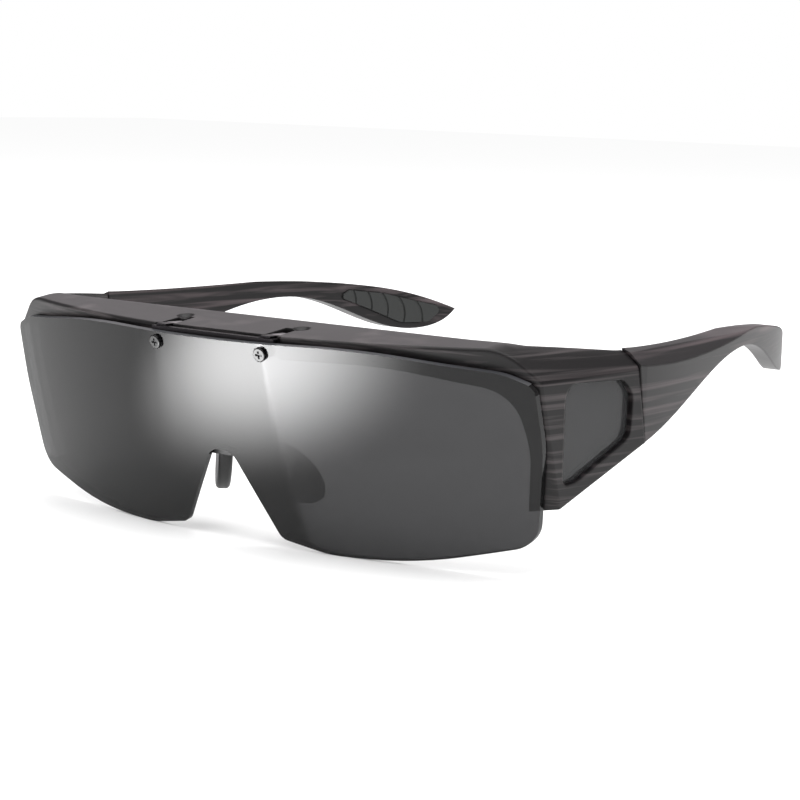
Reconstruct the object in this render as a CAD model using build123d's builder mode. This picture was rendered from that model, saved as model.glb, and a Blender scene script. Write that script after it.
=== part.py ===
"""Fit-over sunglasses with a one-piece shield lens that flips up.

A deep moulded front with wrap-round wings is worn over ordinary spectacles. The shield hangs in
front of it on a metal yoke that pivots in two slots in the brow, and two temples fold on barrel
hinges. Millimetres, +Z up, +X to the wearer's left, +Y from the front back to the ears. The origin
is under the middle of the object, at the level of the shield's lowest edge.
"""

import os
from math import atan2, cos, degrees, radians, sin, sqrt

from build123d import *

os.makedirs("parts", exist_ok=True)

# ---------------------------------------------------------------- driving dimensions
# Shield lens: a slice of a cylinder, leaning back at the bottom.
lens_half_width = 71.6
lens_top = 2.4  # above the lens datum, which is level with the brow's lower half
lens_drop = 42.1  # below the lens datum
lens_radius = 188.5
lens_tilt = 13.3
lens_thickness = 1.2
notch_height = 20.3  # nose notch, up from the lowest edge
notch_half_width = 13.2

# Screws that hold the shield to the yoke.
screw_spacing = 28.6
screw_level = 0.3  # above the lens datum
screw_radius = 0.7
screw_head_radius = 1.5
screw_head_height = 0.7
washer_thickness = 0.5
washer_radius = 1.65
nut_radius = 1.4
nut_thickness = 0.9

# Yoke: a bar along the brow's front edge, with a tab into each slot and a leg behind the lens.
sheet_thickness = 0.8
tab_width = 2.6
bar_overhang = 2.5  # past the screw line at each end
bar_depth = 1.7
tab_rise = 0.5
yoke_top = 44.5
pivot_back = 8.6
pivot_height = 43.8
pin_radius = 0.5
knuckle_radius = 1.1
pin_bearing = 2.0  # pin length held in the brow at each side of a slot
scoop_radius = 3.2
scoop_depth = 0.7
spring_front = 5.6
spring_back = 9.6
spring_sheet = 0.25
slot_floor = 42.0

# Front frame.
frame_gap = 2.9  # lens front face to the frame's front face, at the middle
frame_front_radius = 204.0
brow_front_top = 44.5
brow_thickness = 4.2
brow_depth = 17.3
brow_rise = 0.13
rim_depth = 3.2
wing_half_width = 76.2  # at the temple seam
wing_front_half_width = 70.6
wing_front = 12.0
wing_wall = 3.8
ridge_round = 9.0
crease_round = 2.0
edge_round = 0.6
shelf_level = 40.4  # underside of the wings' thicker top
shelf_half_width = 63.6  # between those tops, just behind the brow
shelf_end = 42.0
seam_back = 47.0
seam_lean = 3.6
wing_foot = 13.0
wing_foot_back = 18.7
rim_foot = 11.0
wing_rear_foot = 25.8
wing_rear_top = 45.4
crease_front = 40.0
crease_rear = 41.3

# Post between the eyes, and the rubber nose pad on it.
post_half_width = 4.6
post_thickness = 3.4
post_foot = 19.0
pad_wall = 1.2
sleeve_height = 6.2
paddle_length = 19.0
paddle_height = 9.6
paddle_thickness = 3.0
paddle_round = 0.9

# Side windows.
pane_thickness = 1.4
window_lip = 1.0
retainer_thickness = 1.0

# Temples.
temple_reach = 149.0
temple_thickness = 4.2
tip_thickness = 4.0
tip_inset = 25.9  # how far the tip lies inboard of the seam
tip_pad_depth = 0.9
tip_pad_proud = 0.4
temple_hip = (80.0, 3.7)  # back, and how far the outer face has come in there
temple_ear = (110.0, 9.8)
tip_slant = 37.0  # of the tip to the straight ahead
tip_pad_outline = [
    (116.6, 40.0, 0.8),
    (119.5, 41.8, 1.5),
    (130.0, 40.6, 12.0),
    (146.4, 36.6, 1.5),
    (142.4, 32.7, 1.5),
    (135.0, 32.7, 6.0),
    (126.0, 36.5, 12.0),
]
groove_count = 5
groove_first = 121.5
groove_pitch = 4.8
groove_width = 0.5
groove_depth = 0.35

# Barrel hinges.
hinge_pin_radius = 0.7
hinge_knuckle_radius = 1.5
hinge_knuckle_height = 2.8
hinge_level = 36.0
hinge_behind_seam = 0.8
hinge_plate_length = 7.0
hinge_plate_thickness = 0.9
hinge_head_height = 0.6

# Clearances.
slot_clearance = 0.4
seam_gap = 0.3
running_gap = 0.1
running_fit = 0.05
skin_gap = 0.02

# ---------------------------------------------------------------- planes worked out from them
tilt = radians(lens_tilt)
datum_height = lens_drop * cos(tilt)
up_the_lens = Vector(0, -sin(tilt), cos(tilt))
out_of_lens = Vector(0, -cos(tilt), -sin(tilt))
lens_plane = Plane(origin=(0, 0, datum_height), x_dir=(1, 0, 0), z_dir=out_of_lens)
lens_plan = Plane(origin=(0, 0, datum_height), x_dir=(1, 0, 0), z_dir=up_the_lens)

wing_flare = (wing_half_width - wing_front_half_width) / (seam_back - wing_front)
wing_angle = atan2(wing_half_width - wing_front_half_width, seam_back - wing_front)
wing_out = Vector(cos(wing_angle), -sin(wing_angle), 0)
wing_along = Vector(sin(wing_angle), cos(wing_angle), 0)
wing_plane = Plane(
    origin=(wing_front_half_width - wing_front * wing_flare, 0, 0),
    x_dir=wing_along,
    z_dir=wing_out,
)
seam_foot = (seam_back, wing_rear_foot)
seam_head = (seam_back - seam_lean, wing_rear_top)
hinge_stack = 3 * hinge_knuckle_height + 2 * running_gap
hinge_x = wing_half_width - temple_thickness - 0.2
seam_at_hinge = seam_lean * (hinge_level - wing_rear_foot) / (wing_rear_top - wing_rear_foot)
hinge_y = seam_back - seam_at_hinge + hinge_behind_seam
temple_x = wing_half_width - 0.2
temple_end = (temple_reach, 36.2)
bevel_rise = wing_rear_top - crease_rear
ridge_drop = ridge_round * (1 / cos(radians(22.5)) - 1)  # that the ridge's rounding takes off
temple_bevel = Plane(origin=(temple_x, seam_back, crease_rear), z_dir=(1, 0.1, 1))
temple_ridge = Plane(
    origin=(temple_x - bevel_rise, seam_back, wing_rear_top - 1.1 * ridge_drop),
    z_dir=(sin(radians(22.5)), 0.04, cos(radians(22.5))),
)
post_drop = (datum_height - post_foot) / cos(tilt)
lens_front = -lens_top * sin(tilt)
middle_back = (lens_front + temple_reach) / 2
reach = 200.0  # longer than anything cut


def rounded(points):
    """A closed outline of straight runs whose corners (x, y, radius) are rounded."""
    return FilletPolyline(
        *[(x, y) for x, y, _ in points], radius=[r for _, _, r in points], close=True
    )


def both_halves(half):
    """A symmetric outline from its right half, listed from the top to the bottom."""
    return half + [(-x, y, r) for x, y, r in reversed(half)]


def write(builder, name):
    """Move a finished piece to the object's own origin and write it out."""
    builder.part.label = name
    builder.part.location = Location((0, -middle_back, -floor_level))
    export_step(builder.part, f"parts/{name}.step")


def write_pair(left_builder, name):
    """Write the wearer's left piece and its mirror image on the right."""
    with BuildPart() as right_builder:
        mirror(left_builder.part, about=Plane.YZ)
    write(left_builder, f"{name}_left")
    write(right_builder, f"{name}_right")


def brow_top(y):
    return brow_front_top + brow_rise * y


# ---------------------------------------------------------------- flip shield
# One-piece polarised lens: level top, rounded lower corners and a notch over the nose.
shield_outline = both_halves(
    [
        (36.0, lens_top, 150.0),
        (lens_half_width - 6.4, lens_top - 4.6, 15.0),
        (lens_half_width - 0.7, lens_top - 7.5, 3.0),
        (lens_half_width - 0.2, -18.0, 40.0),
        (lens_half_width - 3.0, 4.4 - lens_drop, 6.0),
        (44.0, -lens_drop, 110.0),
        (25.0, -lens_drop, 30.0),
        (notch_half_width, 2.3 - lens_drop, 3.0),
        (notch_half_width - 10.3, notch_height - lens_drop, 3.6),
    ]
)

screw_x = screw_spacing / 2
screw_sag = lens_radius - sqrt(lens_radius**2 - screw_x**2)
screw_turn = degrees(atan2(screw_x, lens_radius - screw_sag))
lens_out_at_screw = Vector(out_of_lens).rotate(Axis((0, 0, 0), tuple(up_the_lens)), screw_turn)
screw_centre = (
    Vector(screw_x, 0, datum_height) + up_the_lens * screw_level - out_of_lens * screw_sag
)
screw_plane = Plane(
    origin=screw_centre,
    x_dir=Vector(up_the_lens).cross(lens_out_at_screw),
    z_dir=lens_out_at_screw,
)

with BuildPart() as screw_hole:
    with BuildSketch(screw_plane.offset(2)):
        Circle(screw_radius + running_gap)
    extrude(amount=-5)

with BuildPart() as flip_shield:
    with BuildSketch(lens_plane.offset(2)):
        with BuildLine():
            rounded(shield_outline)
        make_face()
    extrude(amount=-22)
    with BuildSketch(lens_plan.offset(-reach / 2)):
        with Locations((0, lens_radius)):
            Circle(lens_radius)
            Circle(lens_radius - lens_thickness, mode=Mode.SUBTRACT)
    extrude(amount=reach, mode=Mode.INTERSECT)
    add(screw_hole.part, mode=Mode.SUBTRACT)
    mirror(screw_hole.part, about=Plane.YZ, mode=Mode.SUBTRACT)
floor_level = flip_shield.part.bounding_box().min.Z
write(flip_shield, "flip_shield")

# ---------------------------------------------------------------- screws, washers and nuts
# One of each at each side, all square to the lens where the screw goes through it.
washer_seat = -(lens_thickness + skin_gap)
leg_seat = washer_seat - washer_thickness
nut_seat = leg_seat - sheet_thickness
screw_axis = Axis((0, 0, 0), tuple(lens_out_at_screw))

with BuildPart() as shield_screws:
    with BuildSketch(screw_plane.offset(skin_gap)):
        Circle(screw_head_radius)
    extrude(amount=screw_head_height)
    fillet(shield_screws.faces().sort_by(screw_axis)[-1].edges(), 0.25)
    with BuildSketch(screw_plane.offset(skin_gap + screw_head_height)):
        Rectangle(1.6, 0.4)
        Rectangle(0.4, 1.6)
    extrude(amount=-0.35, mode=Mode.SUBTRACT)
    with BuildSketch(screw_plane.offset(skin_gap)):
        Circle(screw_radius)
    extrude(amount=nut_seat - nut_thickness - skin_gap)
    mirror(about=Plane.YZ)
write(shield_screws, "shield_screws")

with BuildPart() as shield_washers:
    with BuildSketch(screw_plane.offset(washer_seat)):
        Circle(washer_radius)
        Circle(screw_radius, mode=Mode.SUBTRACT)
    extrude(amount=-washer_thickness)
    mirror(about=Plane.YZ)
write(shield_washers, "shield_washers")

with BuildPart() as shield_nuts:
    with BuildSketch(screw_plane.offset(nut_seat)):
        Circle(nut_radius)
        Circle(screw_radius, mode=Mode.SUBTRACT)
    extrude(amount=-nut_thickness)
    mirror(about=Plane.YZ)
write(shield_nuts, "shield_nuts")

# ---------------------------------------------------------------- flip yoke
# Pressed metal: a straight bar on the brow's front edge, a tab running back into each slot to a
# rolled knuckle on the pivot pin, and a leg down behind the lens to each screw.
leg_reach = (yoke_top - 0.3 - screw_centre.Z) / cos(tilt)
leg_at_top = screw_centre + lens_out_at_screw * leg_seat + up_the_lens * leg_reach
bar_front = leg_at_top.Y - 0.1
bar_back = bar_front + bar_depth
yoke_low = yoke_top - sheet_thickness
tab_inner = screw_x - tab_width / 2
pivot_plane = Plane(origin=(tab_inner, pivot_back, pivot_height), x_dir=(0, 1, 0), z_dir=(1, 0, 0))

with BuildPart() as yoke_leg:
    with BuildSketch(screw_plane.offset(leg_seat)):
        with Locations((0, leg_reach / 2)):
            Rectangle(tab_width, leg_reach)
        Circle(nut_radius + 0.1)
        Circle(screw_radius, mode=Mode.SUBTRACT)
    extrude(amount=-sheet_thickness)

with BuildPart() as yoke_knuckle:
    with BuildSketch(pivot_plane):
        Circle(knuckle_radius)
    extrude(amount=tab_width)

with BuildPart() as yoke_bore:
    with BuildSketch(pivot_plane.offset(-1)):
        Circle(pin_radius + running_fit)
    extrude(amount=tab_width + 2)

with BuildPart() as flip_yoke:
    with BuildSketch(Plane.XY.offset(yoke_low)):
        with Locations((0, bar_front + bar_depth / 2)):
            RectangleRounded(screw_spacing + 2 * bar_overhang, bar_depth, 0.4)
    extrude(amount=sheet_thickness)
    with BuildSketch(Plane.XY.offset(yoke_low)):
        with Locations(
            (screw_x, (bar_front + pivot_back) / 2 + 0.2),
            (-screw_x, (bar_front + pivot_back) / 2 + 0.2),
        ):
            Rectangle(tab_width, pivot_back - bar_front - 0.4)
    extrude(amount=sheet_thickness + tab_rise)
    for piece, mode in (
        (yoke_leg, Mode.ADD),
        (yoke_knuckle, Mode.ADD),
        (yoke_bore, Mode.SUBTRACT),
    ):
        add(piece.part, mode=mode)
        mirror(piece.part, about=Plane.YZ, mode=mode)
write(flip_yoke, "flip_yoke")

# ---------------------------------------------------------------- front frame
# One moulding: brow bar with a sloping top, wings that wrap back to the temples with a bevelled
# upper edge and a window each, rims down the outer edge of the shield, and a post for the nose pad.
brow_rear_top = brow_top(brow_depth)
outer_x0 = wing_front_half_width - (wing_front + 5) * wing_flare
outer_x1 = wing_half_width + 5 * wing_flare

side_outline = [
    (-5.0, brow_top(-5.0), 0.0),
    (brow_depth, brow_rear_top, 12.0),
    (seam_head[0], seam_head[1], 0.0),
    (seam_foot[0], seam_foot[1], 0.0),
    (wing_foot_back, wing_foot, 1.0),
    (wing_foot_back - 2.6, rim_foot, 0.5),
    (-5.0, rim_foot, 0.0),
]
opening_outline = both_halves(
    [
        (40.0, -1.6, 90.0),
        (65.6, -6.6, 9.0),
        (68.2, -18.0, 25.0),
        (64.5, -46.0, 1.0),
    ]
)
window_outline = [
    (23.6, 19.2, 1.5),
    (23.6, 39.3, 3.5),
    (40.6, 39.0, 3.0),
    (43.5, 36.0, 3.0),
    (43.1, 27.2, 4.0),
    (28.0, 19.8, 6.0),
]

inner_x0 = outer_x0 - wing_wall / cos(wing_angle)
inner_x1 = outer_x1 - wing_wall / cos(wing_angle)
inner_at_shelf_end = inner_x0 + (shelf_end + 5) * wing_flare

with BuildPart() as cavity_behind_brow:
    with BuildSketch(Plane.XY):
        with BuildLine():
            rounded(
                both_halves(
                    [
                        (inner_x1, seam_back + 5, 0.0),
                        (inner_at_shelf_end, shelf_end, 20.0),
                        (shelf_half_width, brow_depth + 1.5, 5.0),
                        (shelf_half_width - 10, brow_depth, 12.0),
                    ]
                )
            )
        make_face()
    extrude(amount=60)

with BuildPart() as cavity_under_brow:
    with BuildSketch(Plane.XY):
        with BuildLine():
            rounded(both_halves([(inner_x1, seam_back + 5, 0.0), (inner_x0, -5.0, 0.0)]))
        make_face()
    extrude(amount=60)
    with BuildSketch(lens_plan.offset(-reach / 2)):
        with Locations((0, frame_gap + frame_front_radius)):
            Circle(frame_front_radius - rim_depth)
    extrude(amount=reach, mode=Mode.INTERSECT)
    with BuildSketch(Plane.YZ.offset(-reach / 2)):
        with BuildLine():
            rounded(
                [
                    (-10.0, brow_top(-10.0) - brow_thickness, 0.0),
                    (brow_depth + 2, brow_top(brow_depth + 2) - brow_thickness, 0.0),
                    (brow_depth + 2, shelf_level, 0.0),
                    (seam_back + 10, shelf_level, 0.0),
                    (seam_back + 10, -10.0, 0.0),
                    (-10.0, -10.0, 0.0),
                ]
            )
        make_face()
    extrude(amount=reach, mode=Mode.INTERSECT)

with BuildPart() as window_cut:
    with BuildSketch(wing_plane.offset(2)):
        with BuildLine():
            rounded(window_outline)
        make_face()
    extrude(amount=-12)
with BuildPart() as window_seat:
    with BuildSketch(wing_plane.offset(-wing_wall + pane_thickness + retainer_thickness)):
        with BuildLine():
            rounded(window_outline)
        make_face()
        offset(amount=window_lip)
    extrude(amount=-8)

with BuildPart() as slot_cut:
    slot_width = tab_width + 2 * slot_clearance
    with BuildSketch(Plane.YZ.offset(screw_x - slot_width / 2)):
        with BuildLine():
            rounded(
                [
                    (-5.0, 50.0, 0.0),
                    (pivot_back + knuckle_radius + 0.9, 50.0, 0.0),
                    (pivot_back + knuckle_radius + 0.4, slot_floor, 0.6),
                    (-5.0, slot_floor, 0.0),
                ]
            )
        make_face()
    extrude(amount=slot_width)
with BuildPart() as nut_pocket:
    with BuildSketch(Plane.XY.offset(slot_floor - 10)):
        with Locations((screw_x, 0)):
            Rectangle(2 * nut_radius + 3 * slot_clearance, 10)
    extrude(amount=10)
with BuildPart() as pin_bore:
    with BuildSketch(pivot_plane.offset(-pin_bearing - slot_clearance)):
        Circle(pin_radius)
    extrude(amount=tab_width + 2 * slot_clearance + 2 * pin_bearing)

with BuildPart() as bar_recess:
    with BuildSketch(Plane.XY.offset(yoke_low - slot_clearance)):
        with Locations((0, bar_back + slot_clearance - 5)):
            Rectangle(screw_spacing + 2 * (bar_overhang + slot_clearance), 10)
    extrude(amount=5)

# A shallow scoop in the brow behind each slot, for a fingertip on the spring tab.
scoop_back = pivot_back + 2.0
with BuildPart() as slot_scoop:
    with Locations((screw_x + 1.7, scoop_back, brow_top(scoop_back) + scoop_radius - scoop_depth)):
        Sphere(scoop_radius)

with BuildPart() as nose_post:
    with BuildSketch(lens_plane.offset(-frame_gap - 0.4)):
        with BuildLine():
            rounded(
                both_halves(
                    [
                        (post_half_width + 4.0, -0.8, 0.0),
                        (post_half_width, -4.4, 4.0),
                        (post_half_width, -post_drop, 1.0),
                    ]
                )
            )
        make_face()
    extrude(amount=-post_thickness)

with BuildPart() as hinge_pocket:
    with BuildSketch(Plane.XY.offset(hinge_level - hinge_stack / 2 - slot_clearance)):
        with Locations((hinge_x, hinge_y)):
            Circle(hinge_knuckle_radius + slot_clearance)
    extrude(amount=hinge_stack + hinge_head_height + 2 * slot_clearance)

with BuildPart() as front_frame:
    with BuildSketch(Plane.XY):
        with BuildLine():
            rounded(
                both_halves([(outer_x1, seam_back + 5, 0.0), (outer_x0, -5.0, 0.0)])
            )
        make_face()
    extrude(amount=60)
    with BuildSketch(lens_plan.offset(-reach / 2)):
        with Locations((0, frame_gap + frame_front_radius)):
            Circle(frame_front_radius)
    extrude(amount=reach, mode=Mode.INTERSECT)
    with BuildSketch(Plane.YZ.offset(-reach / 2)):
        with BuildLine():
            rounded(side_outline)
        make_face()
    extrude(amount=reach, mode=Mode.INTERSECT)
    for side in (1, -1):
        crease_line = Vector(
            side * (wing_half_width - wing_front_half_width),
            seam_back - wing_front,
            crease_rear - crease_front,
        ).normalized()
        bevel_out = (Vector(side * cos(wing_angle), -sin(wing_angle), 0) + Vector(0, 0, 1)).normalized()
        split(
            bisect_by=Plane(
                origin=(side * wing_front_half_width, wing_front, crease_front),
                x_dir=crease_line,
                z_dir=bevel_out - crease_line * bevel_out.dot(crease_line),
            ),
            keep=Keep.BOTTOM,
        )
    fillet(
        front_frame.edges().filter_by(
            lambda edge: edge.center().Z > wing_rear_top and abs(edge.center().X) > 60
        ),
        ridge_round,
    )
    fillet(
        front_frame.edges().filter_by(
            lambda edge: abs(edge.center().Z - crease_front) < 1.5
            and abs(edge.center().X) > wing_front_half_width
        ),
        crease_round,
    )
    fillet(front_frame.edges().group_by(Axis.Y)[0], edge_round)
    add(cavity_behind_brow.part, mode=Mode.SUBTRACT)
    add(cavity_under_brow.part, mode=Mode.SUBTRACT)
    with BuildSketch(lens_plane.offset(8)):
        with BuildLine():
            rounded(opening_outline)
        make_face()
    extrude(amount=-26, mode=Mode.SUBTRACT)
    add(nose_post.part)
    add(bar_recess.part, mode=Mode.SUBTRACT)
    for cut in (window_cut, window_seat, slot_cut, slot_scoop, nut_pocket, pin_bore, hinge_pocket):
        add(cut.part, mode=Mode.SUBTRACT)
        mirror(cut.part, about=Plane.YZ, mode=Mode.SUBTRACT)
write(front_frame, "front_frame")

# ---------------------------------------------------------------- pivot pins and detent springs
with BuildPart() as pivot_pin:
    with BuildSketch(pivot_plane.offset(-pin_bearing - slot_clearance)):
        Circle(pin_radius)
    extrude(amount=tab_width + 2 * slot_clearance + 2 * pin_bearing)
write_pair(pivot_pin, "pivot_pin")

# A bowed leaf on the floor of each slot, whose crown rubs on the knuckle.
spring_crown = pivot_height - knuckle_radius - running_gap
with BuildPart() as detent_spring:
    with BuildSketch(Plane.YZ.offset(tab_inner + 0.2)):
        with BuildLine():
            ThreePointArc(
                (spring_front, slot_floor + skin_gap),
                ((spring_front + spring_back) / 2, spring_crown - spring_sheet),
                (spring_back, slot_floor + skin_gap),
            )
            Line((spring_back, slot_floor + skin_gap), (spring_back, slot_floor + spring_sheet))
            ThreePointArc(
                (spring_back, slot_floor + spring_sheet),
                ((spring_front + spring_back) / 2, spring_crown),
                (spring_front, slot_floor + spring_sheet),
            )
            Line((spring_front, slot_floor + spring_sheet), (spring_front, slot_floor + skin_gap))
        make_face()
    extrude(amount=tab_width - 0.4)
write_pair(detent_spring, "detent_spring")

# ---------------------------------------------------------------- nose pad
# Soft moulding: a sleeve on the post's foot with an oval paddle splayed back at each side.
paddle_plane = Plane(origin=(3.0, 10.0, 0), x_dir=(1, 1, 0), z_dir=(1, -1, 0))

with BuildPart() as paddle:
    with BuildSketch(paddle_plane.offset(-paddle_thickness / 2)):
        with Locations((paddle_length * 0.43, post_foot - 3.7)):
            Ellipse(paddle_length / 2, paddle_height / 2, rotation=-37)
    extrude(amount=paddle_thickness)
    fillet(paddle.edges(), paddle_round)

with BuildPart() as nose_pad:
    with BuildSketch(lens_plane.offset(-frame_gap - 0.4 + pad_wall)):
        with Locations((0, sleeve_height / 2 - post_drop - pad_wall)):
            RectangleRounded(2 * (post_half_width + pad_wall), sleeve_height, 1.5)
    extrude(amount=-post_thickness - 2 * pad_wall)
    add(paddle.part)
    mirror(paddle.part, about=Plane.YZ)
    add(nose_post.part, mode=Mode.SUBTRACT)
write(nose_pad, "nose_pad")

# ---------------------------------------------------------------- side windows
# A flat tinted pane let into each wing from inside, held by a retainer ring whose web covers the
# pane's lower rear corner.
pane_seat = -(wing_wall - pane_thickness - retainer_thickness)
with BuildPart() as side_window:
    with BuildSketch(wing_plane.offset(pane_seat)):
        with BuildLine():
            rounded(window_outline)
        make_face()
        offset(amount=window_lip - skin_gap)
    extrude(amount=-pane_thickness)
write_pair(side_window, "side_window")

with BuildPart() as window_retainer:
    with BuildSketch(wing_plane.offset(pane_seat - pane_thickness - skin_gap)):
        with BuildLine():
            rounded(window_outline)
        make_face()
        offset(amount=window_lip - skin_gap)
        with BuildLine():
            rounded(
                [
                    (25.0, 22.0, 1.5),
                    (31.0, 24.0, 0.5),
                    (35.0, 24.4, 0.3),
                    (34.2, 27.2, 0.5),
                    (42.5, 28.4, 1.0),
                    (43.2, 37.6, 3.0),
                    (25.0, 38.0, 3.0),
                ]
            )
        make_face(mode=Mode.SUBTRACT)
    extrude(amount=-retainer_thickness + skin_gap)
write_pair(window_retainer, "window_retainer")

# ---------------------------------------------------------------- temples
# Each is deep where it meets the wing, slender over the ear, and ends in a broader drooping tip.
def plan_band(near_front, near_tip, far_front, far_tip):
    """The plan outline between two curves, each so far inboard of the temple's outer face."""
    for front, tip in ((near_front, near_tip), (far_front, far_tip)):
        Line((temple_x - front, seam_back - 8), (temple_x - front, seam_back))
        Spline(
            (temple_x - front, seam_back),
            (temple_x - temple_hip[1] - (2 * front + tip) / 3, temple_hip[0]),
            (temple_x - temple_ear[1] - (front + 2 * tip) / 3, temple_ear[0]),
            (temple_x - tip_inset - tip, temple_reach + 1),
            tangents=((-0.04, 1), (-sin(radians(tip_slant)), cos(radians(tip_slant)))),
        )
    Line((temple_x - near_front, seam_back - 8), (temple_x - far_front, seam_back - 8))
    Line(
        (temple_x - tip_inset - near_tip, temple_reach + 1),
        (temple_x - tip_inset - far_tip, temple_reach + 1),
    )


temple_seam_foot = (seam_foot[0] + seam_gap, seam_foot[1])
temple_seam_head = (seam_head[0] + seam_gap, seam_head[1])

with BuildPart() as temple_pocket:
    with BuildSketch(Plane.YZ.offset(30)):
        with BuildLine():
            rounded(tip_pad_outline)
        make_face()
    extrude(amount=60)
    with BuildSketch(Plane.XY):
        with BuildLine():
            plan_band(
                temple_thickness - tip_pad_depth,
                tip_thickness - tip_pad_depth,
                temple_thickness + 3,
                tip_thickness + 3,
            )
        make_face()
    extrude(amount=60, mode=Mode.INTERSECT)

with BuildPart() as temple:
    with BuildSketch(Plane.YZ.offset(30)):
        with BuildLine():
            Line(temple_seam_foot, temple_seam_head)
            Spline(temple_seam_head, (90.0, 45.0), (115.0, 43.7), (138.0, 40.3), temple_end)
            Spline(
                temple_end,
                (145.6, 32.8),
                (140.5, 31.2),
                (118.0, 36.9),
                (105.0, 40.4),
                (96.0, 40.6),
                (77.0, 36.6),
                (58.0, 29.4),
                temple_seam_foot,
            )
        make_face()
    extrude(amount=60)
    with BuildSketch(Plane.XY):
        with BuildLine():
            plan_band(0, 0, temple_thickness, tip_thickness)
        make_face()
    extrude(amount=60, mode=Mode.INTERSECT)
    split(bisect_by=temple_bevel, keep=Keep.BOTTOM)
    split(bisect_by=temple_ridge, keep=Keep.BOTTOM)
    add(hinge_pocket.part, mode=Mode.SUBTRACT)
    add(temple_pocket.part, mode=Mode.SUBTRACT)
write_pair(temple, "temple")

with BuildPart() as pad_grooves:
    with BuildSketch(Plane.YZ.offset(30)):
        for count in range(groove_count):
            groove_y = groove_first + count * groove_pitch
            groove_z = 39.2 - (groove_y - 118.0) * 0.24
            with BuildLine():
                ThreePointArc(
                    (groove_y - 2.2, groove_z + 5),
                    (groove_y, groove_z),
                    (groove_y - 2.2, groove_z - 5),
                )
            trace(line_width=groove_width)
    extrude(amount=60)
    with BuildSketch(Plane.XY):
        with BuildLine():
            plan_band(
                temple_thickness + tip_pad_proud - groove_depth,
                tip_thickness + tip_pad_proud - groove_depth,
                temple_thickness + 3,
                tip_thickness + 3,
            )
        make_face()
    extrude(amount=60, mode=Mode.INTERSECT)

with BuildPart() as tip_pad:
    with BuildSketch(Plane.YZ.offset(30)):
        with BuildLine():
            rounded(tip_pad_outline)
        make_face()
        offset(amount=-skin_gap)
    extrude(amount=60)
    with BuildSketch(Plane.XY):
        with BuildLine():
            plan_band(
                temple_thickness - tip_pad_depth + skin_gap,
                tip_thickness - tip_pad_depth + skin_gap,
                temple_thickness + tip_pad_proud,
                tip_thickness + tip_pad_proud,
            )
        make_face()
    extrude(amount=60, mode=Mode.INTERSECT)
    add(pad_grooves.part, mode=Mode.SUBTRACT)
write_pair(tip_pad, "tip_pad")

# ---------------------------------------------------------------- barrel hinges
# The front leaf has the outer two knuckles, the temple leaf the middle one, and a screw through
# all three is the pin.
hinge_low = hinge_level - hinge_stack / 2
hinge_spot = Location((hinge_x, hinge_y))
middle_low = hinge_level - hinge_knuckle_height / 2

with BuildPart() as front_hinge:
    with BuildSketch(wing_plane.offset(-wing_wall)):
        with Locations(((hinge_y - hinge_plate_length / 2) / cos(wing_angle), hinge_level)):
            RectangleRounded(hinge_plate_length, hinge_stack, 0.8)
    extrude(amount=-hinge_plate_thickness)
    with BuildSketch(Plane.XY.offset(hinge_low)):
        with Locations(hinge_spot):
            Circle(hinge_knuckle_radius)
    extrude(amount=hinge_stack)
    with BuildSketch(Plane.XY.offset(middle_low - running_gap)):
        with Locations(hinge_spot):
            Circle(hinge_knuckle_radius + slot_clearance)
    extrude(amount=hinge_knuckle_height + 2 * running_gap, mode=Mode.SUBTRACT)
    with BuildSketch(Plane.XY.offset(hinge_low - 1)):
        with Locations(hinge_spot):
            Circle(hinge_pin_radius)
    extrude(amount=hinge_stack + 2, mode=Mode.SUBTRACT)
write_pair(front_hinge, "front_hinge")

with BuildPart() as temple_hinge:
    with BuildSketch(Plane.YZ.offset(50)):
        with Locations((hinge_y + 2.4 + hinge_plate_length / 2, hinge_level)):
            RectangleRounded(hinge_plate_length, hinge_stack, 0.8)
        with Locations((hinge_y + 1.6, hinge_level)):
            Rectangle(3.2, hinge_knuckle_height)
    extrude(amount=40)
    with BuildSketch(Plane.XY):
        with BuildLine():
            plan_band(
                temple_thickness + skin_gap,
                tip_thickness + skin_gap,
                temple_thickness + hinge_plate_thickness,
                tip_thickness + hinge_plate_thickness,
            )
        make_face()
    extrude(amount=60, mode=Mode.INTERSECT)
    with BuildSketch(Plane.XY.offset(middle_low)):
        with Locations(hinge_spot):
            Circle(hinge_knuckle_radius)
    extrude(amount=hinge_knuckle_height)
    with BuildSketch(Plane.XY.offset(hinge_low - 1)):
        with Locations(hinge_spot):
            Circle(hinge_pin_radius + running_fit)
    extrude(amount=hinge_stack + 2, mode=Mode.SUBTRACT)
write_pair(temple_hinge, "temple_hinge")

with BuildPart() as hinge_screw:
    with BuildSketch(Plane.XY.offset(hinge_low)):
        with Locations(hinge_spot):
            Circle(hinge_pin_radius)
    extrude(amount=hinge_stack)
    with BuildSketch(Plane.XY.offset(hinge_low + hinge_stack)):
        with Locations(hinge_spot):
            Circle(hinge_knuckle_radius - 0.2)
    extrude(amount=hinge_head_height)
    with BuildSketch(Plane.XY.offset(hinge_low + hinge_stack + hinge_head_height)):
        with Locations(hinge_spot):
            Rectangle(3, 0.4)
    extrude(amount=-0.3, mode=Mode.SUBTRACT)
write_pair(hinge_screw, "hinge_screw")
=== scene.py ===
"""Looks for flip-up fit-over sunglasses: satin streaked plastic, a dark polished shield, satin
nickel metalwork and black rubber pads, on a plain white sweep."""

import math

import bpy
from mathutils import Matrix, Vector


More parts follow.
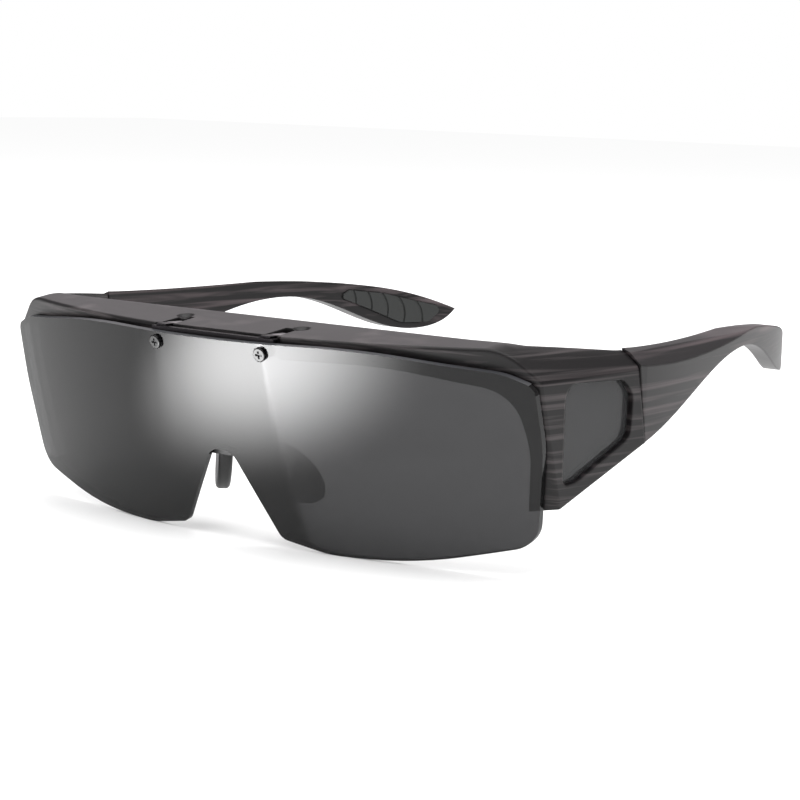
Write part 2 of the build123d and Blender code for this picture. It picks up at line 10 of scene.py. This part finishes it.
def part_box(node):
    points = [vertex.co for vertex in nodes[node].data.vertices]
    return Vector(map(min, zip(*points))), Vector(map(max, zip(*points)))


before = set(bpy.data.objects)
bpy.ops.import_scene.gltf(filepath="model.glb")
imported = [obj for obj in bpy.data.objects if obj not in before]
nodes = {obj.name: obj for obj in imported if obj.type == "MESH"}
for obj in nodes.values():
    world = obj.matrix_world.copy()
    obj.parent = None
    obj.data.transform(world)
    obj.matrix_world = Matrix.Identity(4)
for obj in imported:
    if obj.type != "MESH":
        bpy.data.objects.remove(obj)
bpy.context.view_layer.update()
scene = bpy.context.scene

# ------------------------------------------------------------------ camera
# A long lens a little above the glasses, in front of them and to the wearer's left, and rolled by
# a degree and a half.
azimuth, elevation, roll = math.radians(37.57), math.radians(8.05), math.radians(1.58)
aim = Vector((0.0501, -0.0742, 0.0356))
distance = 0.4341
back = Vector(
    (
        math.sin(azimuth) * math.cos(elevation),
        -math.cos(azimuth) * math.cos(elevation),
        math.sin(elevation),
    )
)
level_right = Vector((math.cos(azimuth), math.sin(azimuth), 0.0))
level_up = back.cross(level_right)
right = level_right * math.cos(roll) + level_up * math.sin(roll)
up = level_up * math.cos(roll) - level_right * math.sin(roll)
turn = Matrix((right, up, back)).transposed().to_4x4()
lens_data = bpy.data.cameras.new("camera")
lens_data.lens = 102.56
lens_data.sensor_width = 36.0
lens_data.clip_start = 0.01
camera = bpy.data.objects.new("camera", lens_data)
camera.matrix_world = Matrix.Translation(aim + back * distance) @ turn
scene.collection.objects.link(camera)
scene.camera = camera

# ------------------------------------------------------------------ floor, sweep and lights
# A seamless white table under a large overhead softbox, with a low weak one behind. The room is
# white to the eye and to matt surfaces and dim to glossy ones, and a glowing card lies on the table
# in front of the shield, where only gloss can pick it up.
scene.view_settings.view_transform = "Standard"


def srgb(code):
    """A hex colour as linear red, green, blue and full alpha."""
    out = []
    for k in (0, 2, 4):
        c = int(code[k : k + 2], 16) / 255
        out.append(c / 12.92 if c <= 0.04045 else ((c + 0.055) / 1.055) ** 2.4)
    return (*out, 1.0)


def add(tree, kind, settings=None, stops=(), **inputs):
    """Adds a node, sets its properties and colour stops, and sets or links its inputs."""
    node = tree.nodes.new(kind)
    for key, value in (settings or {}).items():
        setattr(node, key, value)
    for k, (place, colour) in enumerate(stops):
        element = node.color_ramp.elements[k] if k < 2 else node.color_ramp.elements.new(place)
        element.position, element.color = place, colour
    for key, value in inputs.items():
        socket = node.inputs[int(key[1:])] if key[0] == "i" and key[1:].isdigit() else None
        if socket is None:
            socket = node.inputs[key.replace("_", " ")]
        if isinstance(value, bpy.types.NodeSocket):
            tree.links.new(value, socket)
        else:
            socket.default_value = value
    return node


def new_material(name):
    """An empty node material and its output node."""
    material = bpy.data.materials.new(name)
    material.use_nodes = True
    material.node_tree.nodes.clear()
    return material, add(material.node_tree, "ShaderNodeOutputMaterial")


def quad(name, corners):
    """A flat sheet from its corners."""
    mesh = bpy.data.meshes.new(name)
    mesh.from_pydata(corners, [], [tuple(range(len(corners)))])
    sheet = bpy.data.objects.new(name, mesh)
    scene.collection.objects.link(sheet)
    return sheet


world = bpy.data.worlds.new("room")
world.use_nodes = True
world.node_tree.nodes.clear()
room = world.node_tree
eye = add(room, "ShaderNodeLightPath")
seen = add(room, "ShaderNodeBackground", Color=(1, 1, 1, 1), Strength=1.0)
mirrored = add(room, "ShaderNodeBackground", Color=(1.0, 0.95, 0.97, 1), Strength=0.36)
mixed = add(
    room, "ShaderNodeMixShader",
    i0=eye.outputs["Is Glossy Ray"], i1=seen.outputs[0], i2=mirrored.outputs[0],
)
add(room, "ShaderNodeOutputWorld", Surface=mixed.outputs[0])
scene.world = world

table_half = 3
floor = quad(
    "floor",
    [
        (-table_half, -table_half, 0),
        (table_half, -table_half, 0),
        (table_half, table_half, 0),
        (-table_half, table_half, 0),
    ],
)
paper, out = new_material("white_paper_sweep")
matt = add(paper.node_tree, "ShaderNodeBsdfDiffuse", Color=(0.96, 0.96, 0.96, 1))
paper.node_tree.links.new(matt.outputs[0], out.inputs[0])
floor.data.materials.append(paper)


def softbox(name, place, target, wide, tall, watts, tint=(1, 1, 1)):
    """A rectangular light that faces its target and is hidden from the camera."""
    data = bpy.data.lights.new(name, "AREA")
    data.shape = "RECTANGLE"
    data.size, data.size_y = wide, tall
    data.energy = watts
    data.color = tint
    lamp = bpy.data.objects.new(name, data)
    aim_at = (Vector(target) - Vector(place)).to_track_quat("-Z", "Y")
    lamp.matrix_world = Matrix.Translation(place) @ aim_at.to_matrix().to_4x4()
    lamp.visible_camera = False
    scene.collection.objects.link(lamp)


softbox("overhead", (0.0, -0.05, 0.9), (0, 0, 0), 1.2, 1.0, 9.0)
softbox("behind", (-0.45, 0.7, 0.38), (0, 0, 0.04), 1.0, 0.3, 0.7, (1.0, 0.93, 0.96))

card_half, card_front, card_back, card_lift = 0.2, -0.2, 0.1, 0.0008
glow_shift, glow_per_metre = (0.75, 4.1, 0), (23.0, 30.0, 0)
glow_reach, glow_peak = 1.9, 24.0
card = quad(
    "gradient_card",
    [
        (-card_half, card_front, card_lift),
        (card_half, card_front, card_lift),
        (card_half, card_back, card_lift),
        (-card_half, card_back, card_lift),
    ],
)
glow, out = new_material("gradient_card_light")
tree = glow.node_tree
spot = add(tree, "ShaderNodeTexCoord").outputs["Object"]
oval = add(
    tree, "ShaderNodeMapping", Vector=spot, Location=glow_shift, Scale=glow_per_metre
).outputs[0]
away = add(tree, "ShaderNodeVectorMath", {"operation": "LENGTH"}, i0=oval).outputs["Value"]
fall = add(
    tree, "ShaderNodeMapRange", {"interpolation_type": "SMOOTHERSTEP"},
    i0=away, i1=0.0, i2=glow_reach, i3=glow_peak, i4=0.0,
).outputs[0]
lamp_face = add(tree, "ShaderNodeEmission", Color=(1, 1, 1, 1), Strength=fall)
clear = add(tree, "ShaderNodeBsdfTransparent")
both = add(tree, "ShaderNodeAddShader", i0=lamp_face.outputs[0], i1=clear.outputs[0])
tree.links.new(both.outputs[0], out.inputs[0])
card.data.materials.append(glow)
card.visible_camera = False
card.visible_diffuse = False
card.visible_shadow = False
card.visible_transmission = False

# ------------------------------------------------------------------ front frame and temples
# Injection-moulded nylon in a dark satin finish. Two colours of resin flow together in the mould,
# which leaves long pale streaks that run front to back along the wings and the temples.
def dress(names, material):
    """Gives CAD pieces one material on every slot."""
    for name in names:
        piece = nodes[name]
        if not piece.material_slots:
            piece.data.materials.append(material)
        for slot in piece.material_slots:
            slot.material = material


def pair(name):
    """The names of a left and right pair of pieces."""
    return [f"{name}_left", f"{name}_right"]


grain_per_metre = 5200.0  # a fine satin grain, 0.2 mm


def streaked_nylon(name, base, streak, low, high, streaks_per_metre):
    """Satin moulded nylon with pale streaks a millimetre or two tall, drawn out along Y."""
    material, out = new_material(name)
    tree = material.node_tree
    spot = add(tree, "ShaderNodeTexCoord").outputs["Object"]
    drawn = add(
        tree, "ShaderNodeMapping", Vector=spot, Rotation=(0.06, 0, 0), Scale=streaks_per_metre
    ).outputs[0]
    flow = add(
        tree, "ShaderNodeTexNoise", Vector=drawn, Scale=1.0, Detail=3.0, Roughness=0.55, Distortion=0.6
    )
    wisps = add(
        tree, "ShaderNodeValToRGB", stops=[(low, srgb(base)), (high, srgb(streak))], i0=flow.outputs[0]
    )
    grain = add(tree, "ShaderNodeTexNoise", Vector=spot, Scale=grain_per_metre, Detail=2.0)
    rough = add(tree, "ShaderNodeMapRange", i0=flow.outputs[0], i3=0.34, i4=0.44).outputs[0]
    edge = add(tree, "ShaderNodeBevel", {"samples": 4}, Radius=0.0006)
    bump = add(
        tree, "ShaderNodeBump", Strength=0.05, Distance=0.00005,
        Height=grain.outputs[0], Normal=edge.outputs[0],
    )
    body = add(
        tree, "ShaderNodeBsdfPrincipled", Base_Color=wisps.outputs[0], Roughness=rough,
        Normal=bump.outputs[0], IOR=1.5, Specular_IOR_Level=0.3,
    )
    tree.links.new(body.outputs[0], out.inputs[0])
    return material


# The streaks are 1.3 mm tall and 80 mm long on the front, and 2 mm and 125 mm on the temples.
front_nylon = streaked_nylon("streaked_nylon_front", "131112", "4e4849", 0.5, 0.76, (60, 12, 760))
temple_nylon = streaked_nylon("streaked_nylon_temple", "131112", "5a5052", 0.48, 0.74, (120, 8, 520))
dress(["front_frame"], front_nylon)
dress(pair("temple"), temple_nylon)

# ------------------------------------------------------------------ flip shield
# Cast polarised sheet, dyed dark grey, bent and cut to shape. It is glossy on both faces, and its
# cut upper edge is a plain grey.
upper_edge_facing = 0.75
shield_sheet, out = new_material("polarised_grey_sheet")
tree = shield_sheet.node_tree
tint = add(tree, "ShaderNodeBsdfTransparent", Color=(0.18, 0.18, 0.183, 1))
gloss = add(tree, "ShaderNodeBsdfGlossy", Color=(0.6, 0.6, 0.6, 1), Roughness=0.05)
haze = add(tree, "ShaderNodeBsdfDiffuse", Color=(0.004, 0.004, 0.0042, 1))
fresnel = add(tree, "ShaderNodeFresnel", IOR=1.5)
body = add(tree, "ShaderNodeAddShader", i0=tint.outputs[0], i1=haze.outputs[0])
sheen = add(tree, "ShaderNodeMixShader", i0=fresnel.outputs[0], i1=body.outputs[0], i2=gloss.outputs[0])
facing = add(tree, "ShaderNodeSeparateXYZ", i0=add(tree, "ShaderNodeTexCoord").outputs["Normal"])
is_edge = add(
    tree, "ShaderNodeMath", {"operation": "GREATER_THAN"},
    i0=facing.outputs["Z"], i1=upper_edge_facing,
)
edge_face = add(tree, "ShaderNodeBsdfPrincipled", Base_Color=srgb("3a3b3e"), Roughness=0.4)
whole = add(
    tree, "ShaderNodeMixShader",
    i0=is_edge.outputs[0], i1=sheen.outputs[0], i2=edge_face.outputs[0],
)
tree.links.new(whole.outputs[0], out.inputs[0])
dress(["flip_shield"], shield_sheet)

# ------------------------------------------------------------------ side windows and retainers
# Flat tinted panes, lighter than the shield, drop into the wings from the inside. Each is held by
# a matt black moulded ring.
window_sheet, out = new_material("tinted_window_sheet")
tree = window_sheet.node_tree
tint = add(tree, "ShaderNodeBsdfTransparent", Color=(0.38, 0.38, 0.39, 1))
gloss = add(tree, "ShaderNodeBsdfGlossy", Color=(0.55, 0.55, 0.55, 1), Roughness=0.12)
haze = add(tree, "ShaderNodeBsdfDiffuse", Color=(0.034, 0.034, 0.035, 1))
fresnel = add(tree, "ShaderNodeFresnel", IOR=1.5)
body = add(tree, "ShaderNodeAddShader", i0=tint.outputs[0], i1=haze.outputs[0])
sheen = add(tree, "ShaderNodeMixShader", i0=fresnel.outputs[0], i1=body.outputs[0], i2=gloss.outputs[0])
tree.links.new(sheen.outputs[0], out.inputs[0])
dress(pair("side_window"), window_sheet)


def moulded(name, colour, rough, grain_size, depth):
    """A plain moulded or rubber surface with a fine sparked grain of the given size in metres."""
    material, out = new_material(name)
    tree = material.node_tree
    spot = add(tree, "ShaderNodeTexCoord").outputs["Object"]
    grain = add(tree, "ShaderNodeTexNoise", Vector=spot, Scale=1.0 / grain_size, Detail=3.0)
    wear = add(
        tree, "ShaderNodeMapRange", i0=grain.outputs[0], i3=rough - 0.06, i4=rough + 0.06
    ).outputs[0]
    edge = add(tree, "ShaderNodeBevel", {"samples": 4}, Radius=0.0003)
    bump = add(
        tree, "ShaderNodeBump", Strength=0.25, Distance=depth,
        Height=grain.outputs[0], Normal=edge.outputs[0],
    )
    body = add(
        tree, "ShaderNodeBsdfPrincipled", Base_Color=srgb(colour), Roughness=wear,
        Normal=bump.outputs[0], IOR=1.5,
    )
    tree.links.new(body.outputs[0], out.inputs[0])
    return material


dress(pair("window_retainer"), moulded("matt_black_nylon", "141414", 0.55, 0.0004, 0.00003))

# ------------------------------------------------------------------ yoke, pins, springs and hinges
# Stamped and rolled steel, barrel-plated in satin nickel, which leaves a soft grey with a fine
# polish that runs along X, in marks about 1 mm long and 0.1 mm wide.
polish_per_metre = (900, 9000, 9000)


def satin_nickel(name, colour, rough):
    """Satin-plated steel in the given colour and roughness."""
    material, out = new_material(name)
    tree = material.node_tree
    spot = add(tree, "ShaderNodeTexCoord").outputs["Object"]
    drawn = add(tree, "ShaderNodeMapping", Vector=spot, Scale=polish_per_metre).outputs[0]
    lines = add(tree, "ShaderNodeTexNoise", Vector=drawn, Scale=1.0, Detail=2.0)
    polish = add(
        tree, "ShaderNodeMapRange", i0=lines.outputs[0], i3=rough - 0.07, i4=rough + 0.07
    ).outputs[0]
    edge = add(tree, "ShaderNodeBevel", {"samples": 4}, Radius=0.00015)
    bump = add(
        tree, "ShaderNodeBump", Strength=0.15, Distance=0.00001,
        Height=lines.outputs[0], Normal=edge.outputs[0],
    )
    body = add(
        tree, "ShaderNodeBsdfPrincipled", Base_Color=srgb(colour), Metallic=1.0,
        Roughness=polish, Normal=bump.outputs[0],
    )
    tree.links.new(body.outputs[0], out.inputs[0])
    return material


# The yoke's bar is blacked after plating, and its two tabs are left bright behind it.
tab_grey, bar_black, bar_to_tab = "a9a6a8", "2b292b", 0.0049
yoke_plate = satin_nickel("satin_nickel_yoke", tab_grey, 0.42)
tree = yoke_plate.node_tree
shine = next(node for node in tree.nodes if node.type == "BSDF_PRINCIPLED")
yoke_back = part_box("flip_yoke")[1].y
depth = add(
    tree, "ShaderNodeSeparateXYZ", i0=add(tree, "ShaderNodeTexCoord").outputs["Object"]
).outputs["Y"]
line = yoke_back - bar_to_tab
on_tab = add(tree, "ShaderNodeMapRange", i0=depth, i1=line - 0.0001, i2=line + 0.0001).outputs[0]
blacked = add(
    tree, "ShaderNodeValToRGB", stops=[(0.0, srgb(bar_black)), (1.0, srgb(tab_grey))], i0=on_tab
)
tree.links.new(blacked.outputs[0], shine.inputs["Base Color"])
dress(["flip_yoke"], yoke_plate)
dress(pair("pivot_pin") + pair("detent_spring"), satin_nickel("bright_spring_steel", "b9b9ba", 0.25))
dress(
    pair("front_hinge") + pair("temple_hinge") + pair("hinge_screw"),
    satin_nickel("satin_nickel_hinge", "b5b2ab", 0.32),
)

# ------------------------------------------------------------------ screws, washers and nuts
# Steel screws and nuts in black oxide, which is semi-gloss and a little cloudy, with stamped
# black fibre washers.
cloud_per_metre = 1500.0  # 0.7 mm
black_oxide, out = new_material("black_oxide_steel")
tree = black_oxide.node_tree
spot = add(tree, "ShaderNodeTexCoord").outputs["Object"]
cloud = add(tree, "ShaderNodeTexNoise", Vector=spot, Scale=cloud_per_metre, Detail=3.0)
rough = add(tree, "ShaderNodeMapRange", i0=cloud.outputs[0], i3=0.2, i4=0.36).outputs[0]
edge = add(tree, "ShaderNodeBevel", {"samples": 4}, Radius=0.00012)
body = add(
    tree, "ShaderNodeBsdfPrincipled", Base_Color=srgb("070708"), Roughness=rough,
    Normal=edge.outputs[0], Specular_IOR_Level=0.35,
)
tree.links.new(body.outputs[0], out.inputs[0])
dress(["shield_screws", "shield_nuts"], black_oxide)
dress(["shield_washers"], moulded("black_fibre_washer", "101010", 0.7, 0.0002, 0.00002))

# ------------------------------------------------------------------ nose pad and tip pads
# The nose pad is moulded in soft black silicone and slipped on the post. The ribbed pads let into
# the temple tips are charcoal rubber.
dress(["nose_pad"], moulded("black_silicone", "171717", 0.5, 0.0005, 0.00002))
dress(pair("tip_pad"), moulded("charcoal_rubber", "262827", 0.55, 0.0004, 0.00003))
